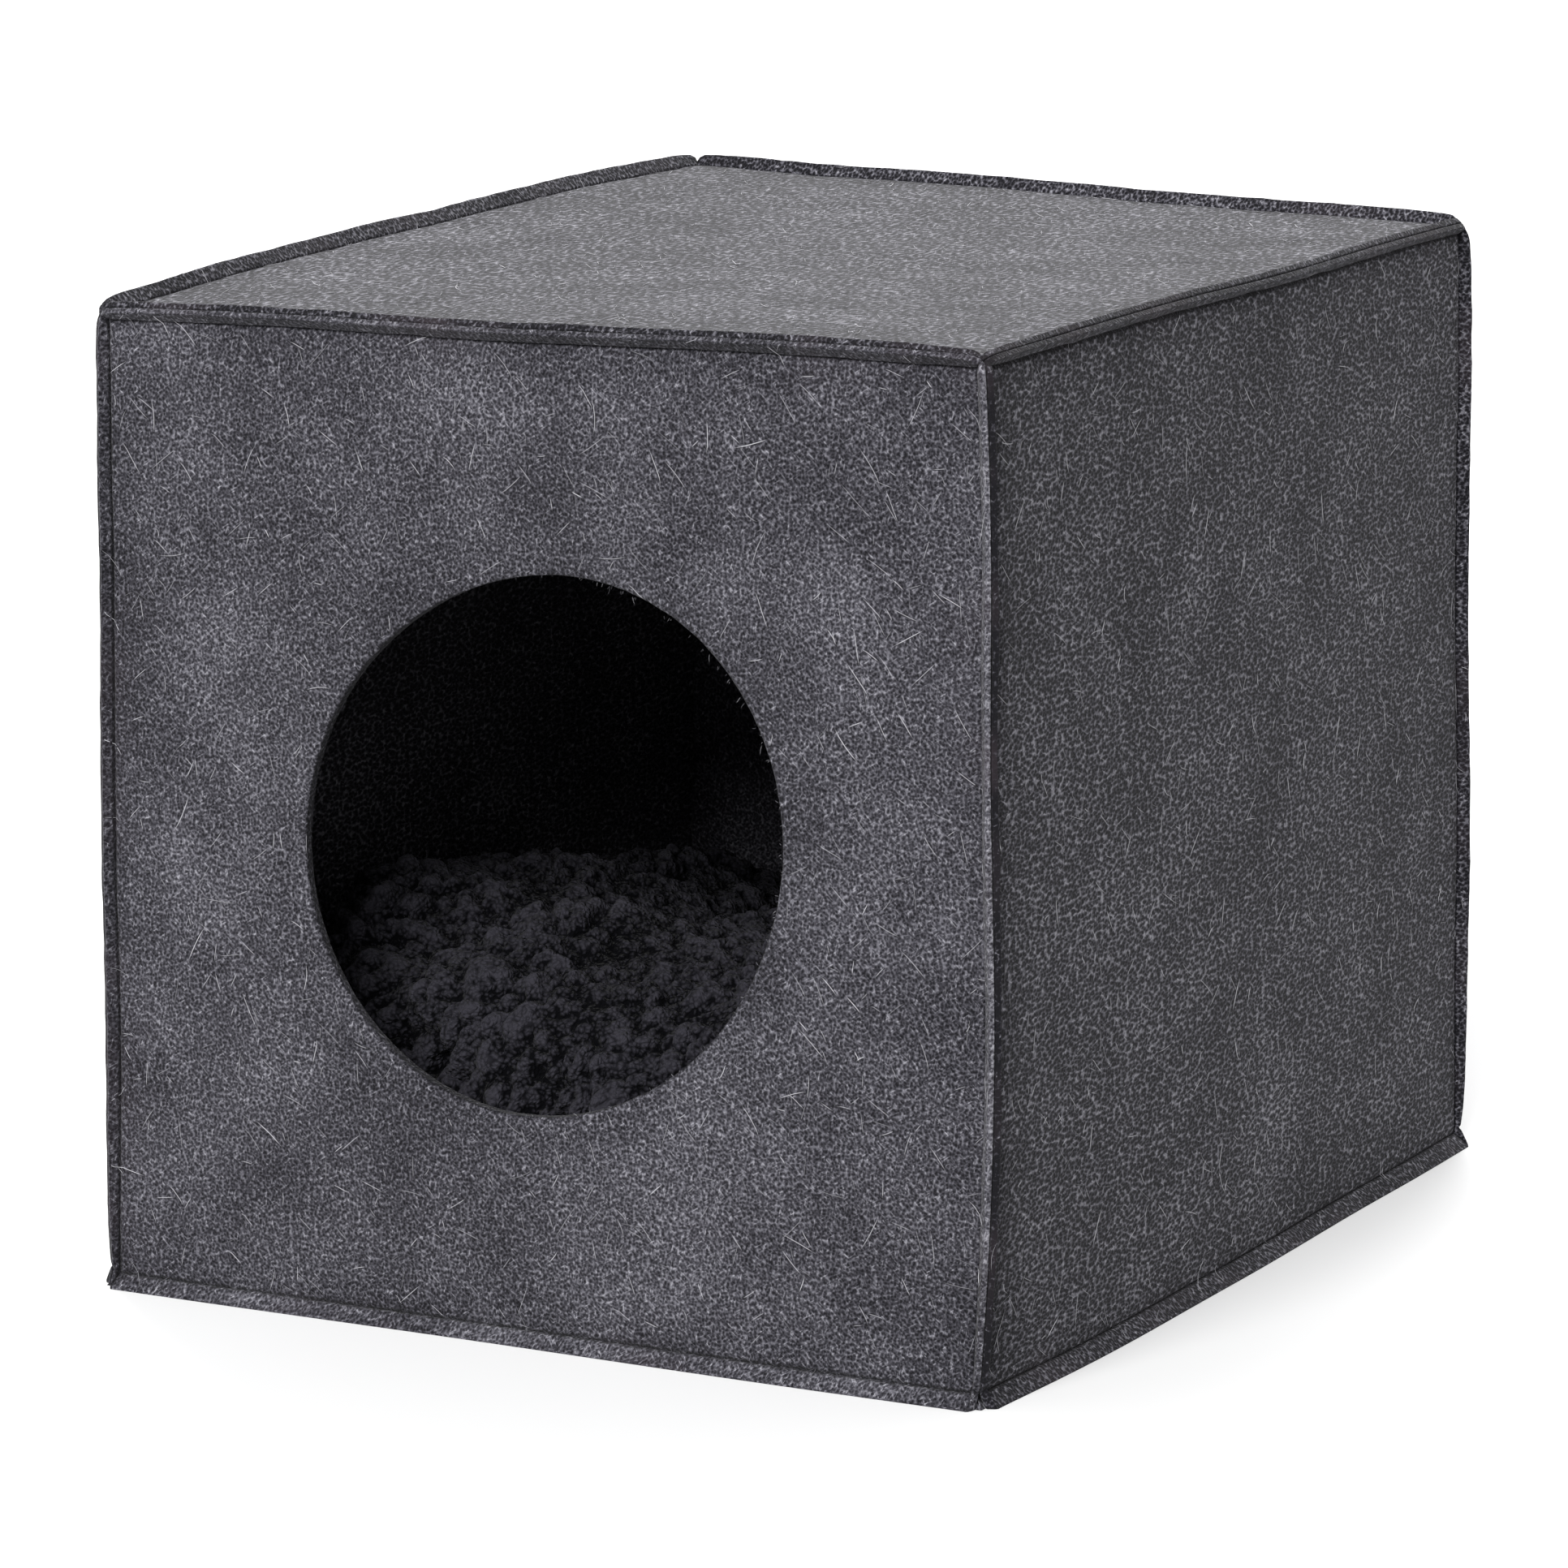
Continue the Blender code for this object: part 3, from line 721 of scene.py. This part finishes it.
low, high = (Vector(corner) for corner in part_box("cushion"))
cushion = copy_of_node("cushion", "plush_cushion")
hull = skin_of(cushion)
edit(cushion)
bpy.ops.mesh.select_all(action="SELECT")
bpy.ops.transform.resize(value=FILLING_START, center_override=(low + high) / 2)
bpy.ops.object.mode_set(mode="OBJECT")
voxels = cushion.modifiers.new("voxels", "REMESH")
voxels.mode = "VOXEL"
voxels.voxel_size = FILLING_VOXEL
apply(cushion, voxels)
before = numbers(cushion.data.vertices, "co", 3)
filling = cushion.modifiers.new("filling", "CLOTH")
filling.settings.use_pressure = True
filling.settings.uniform_pressure_force = FILLING_PRESSURE
filling.settings.effector_weights.gravity = 0
for moment in range(1, FILLING_FRAMES + 1):
    bpy.context.scene.frame_set(moment)
apply(cushion, filling)
bpy.context.scene.frame_set(1)
moved = numbers(cushion.data.vertices, "co", 3) - before
swell = np.linalg.norm(moved, axis=1, keepdims=True)
moved *= np.minimum(1, MOST_SWELL / np.maximum(swell, SHORTEST_MOVE))
cushion.data.vertices.foreach_set("co", (before + moved).ravel())


def from_crease(point, start, end):
    """How far a point lies from a crease."""
    along = end - start
    share = min(1, max(0, (point - start).dot(along) / along.length_squared))
    return (point - start - along * share).length


# The swollen ground is kept inside the CAD solid, then its filling gathers in the lobes and it is creased.
moves = []
for vertex in cushion.data.vertices:
    at = vertex.co.copy()
    nearest, normal = hull.find_nearest(at)[:2]
    room = PILE_ROOM if normal.z > UNDERSIDE else GROUND_ROOM
    if (at - nearest).dot(normal) > -room:
        at = nearest - normal * room
    for middle, reach, height in LOBES:
        lobe = Vector(((at.x - middle.x) / reach.x, (at.y - middle.y) / reach.y))
        at.z += height * math.exp(-lobe.length_squared) * max(0, normal.z)
    for start, end, width, depth in CREASES:
        at = at - normal * depth * math.exp(-((from_crease(at, start, end) / width) ** 2))
    moves.extend(at)
cushion.data.vertices.foreach_set("co", moves)
cushion.data.update()
edit(cushion)
bpy.ops.mesh.select_all(action="SELECT")
bpy.ops.mesh.subdivide(number_cuts=1, smoothness=SUBDIVIDED_SMOOTH)
pick(
    cushion,
    lambda face: face.calc_center_median().z > SEEN_ABOVE and face.calc_center_median().y < SEEN_BEFORE,
    "FACE",
)
bpy.ops.mesh.subdivide(number_cuts=1, smoothness=SUBDIVIDED_SMOOTH)
bpy.ops.object.mode_set(mode="OBJECT")

# The pile clumps in knobs of two sizes, stretched the way that it is combed, with deep creases between.
noise.seed_set(SWIRL_SEED)
side = PILE_WAY.cross(Vector((0, 0, 1))).normalized()
third = side.cross(PILE_WAY)
moves, knob_shadings = [], []
ground, normals = (numbers(cushion.data.vertices, kind, 3) for kind in ("co", "normal"))
for at, normal in zip(ground, normals):
    at = Vector(at)
    height = knob_shading = 0
    for width, rise in KNOBS:
        swirled = at + noise.noise_vector(at / SWIRL) * width
        swirled += noise.noise_vector(at / width) * KNOB_SWIRL * width
        cell = Vector((swirled.dot(PILE_WAY) / KNOB_STRETCH, swirled.dot(side), swirled.dot(third))) / width
        near, next_near = noise.voronoi(cell)[0][:2]
        crease = min(1, (next_near - near) / CREASE_WIDTH) ** 0.5
        dome = 1 - min(1, near / KNOB_REACH) ** 2
        knob = crease * CREASE_SHARE + dome * (1 - CREASE_SHARE)
        change = noise.noise(at / (CHANGE_WIDTHS * width) + CHANGE_START)
        height += (knob - GROUND_LEVEL) * rise * (KNOB_MEAN + KNOB_CHANGE * change)
        knob_shading += knob / len(KNOBS)
    at += Vector(normal) * (height * min(1, max(0, (at.z - low.z) / PRESSED_BELOW)))
    moves.extend((at.x, at.y, max(at.z, low.z + GROUND_ROOM)))
    knob_shadings.append(knob_shading)
cushion.data.vertices.foreach_set("co", moves)
# The knob profile is kept as the painted shade of the creases.
mark(cushion, "knob_shade", knob_shadings)
cushion.data.update()
cushion.data.materials.clear()
cushion.data.materials.append(plush)
cushion.data.shade_smooth()
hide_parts("cushion")
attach(cushion, "root")


# ---- Camera ----------------------------------------------------------------------------------------------
# The photograph is taken from the right of the entrance and a little above it, through a long lens. The
# values are fitted to the corners of the cave. The focal length is in pixels of the square picture.

AZIMUTH = math.radians(29.59)
ELEVATION = math.radians(11.66)
ROLL = math.radians(-0.72)
DISTANCE = 2.311
AIM = Vector((0.0013, -0.0002, 0.163))
ASIDE, BELOW = -0.0114, -0.0144
PICTURE_WIDTH = 1932
FOCAL_LENGTH = 8486
FILM_WIDTH = 36


def toward_place(azimuth, elevation):
    """The direction to a place round the cave, its azimuth counted from the front to the right."""
    level = math.cos(elevation)
    return Vector((math.sin(azimuth) * level, -math.cos(azimuth) * level, math.sin(elevation)))


toward = toward_place(AZIMUTH, ELEVATION)
level_right = Vector((math.cos(AZIMUTH), math.sin(AZIMUTH), 0))
level_up = toward.cross(level_right)
right = level_right * math.cos(ROLL) + level_up * math.sin(ROLL)
up = level_up * math.cos(ROLL) - level_right * math.sin(ROLL)
view = Matrix((right, up, toward)).transposed().to_4x4()
view.translation = AIM + toward * DISTANCE + right * ASIDE + up * BELOW
camera = bpy.data.objects.new("camera", bpy.data.cameras.new("camera"))
bpy.context.scene.collection.objects.link(camera)
camera.matrix_world = view
camera.data.sensor_width = FILM_WIDTH
camera.data.lens = FILM_WIDTH * FOCAL_LENGTH / PICTURE_WIDTH
bpy.context.scene.camera = camera


# ---- Floor and light -------------------------------------------------------------------------------------
# A plain white floor that throws no light back on the felt, a soft light high in front, one that grazes
# the top from behind, and a white room.

FLOOR_SIZE = 60
LAMPS = {
    "front_light": {"azimuth": 6, "elevation": 32, "spread": 35, "power": 3.95},
    "back_light": {"azimuth": 210, "elevation": 30, "spread": 40, "power": 2.95},
}
ROOM = 0.63
ROOM_WHITE = "#ffffff"

# Uncoated white paper, even and matt: the cave casts a soft shadow on it and isn't mirrored.
PAPER_WHITE = "#f4f4f4"
paper = blank_material("white_paper_floor")
tree = paper.node_tree
surface = add(tree, "ShaderNodeBsdfPrincipled", {"Base Color": linear(PAPER_WHITE), "Roughness": 0.9})
add(tree, "ShaderNodeOutputMaterial", {"Surface": surface.outputs[0]})

bpy.ops.object.select_all(action="DESELECT")
bpy.ops.mesh.primitive_plane_add(size=FLOOR_SIZE)
floor = bpy.context.object
floor.name = "floor"
floor.visible_diffuse = False
floor.data.materials.append(paper)

for name, lamp in LAMPS.items():
    light = bpy.data.lights.new(name, "SUN")
    light.angle = math.radians(lamp["spread"])
    light.energy = lamp["power"]
    stand = bpy.data.objects.new(name, light)
    bpy.context.scene.collection.objects.link(stand)
    way = toward_place(math.radians(lamp["azimuth"]), math.radians(lamp["elevation"]))
    stand.location = AIM + way
    stand.rotation_euler = way.to_track_quat("Z", "Y").to_euler()
world = bpy.data.worlds.new("room")
bpy.context.scene.world = world
world.use_nodes = True
background = world.node_tree.nodes["Background"]
background.inputs["Color"].default_value = linear(ROOM_WHITE)
background.inputs["Strength"].default_value = ROOM
bpy.context.scene.view_settings.view_transform = "Standard"
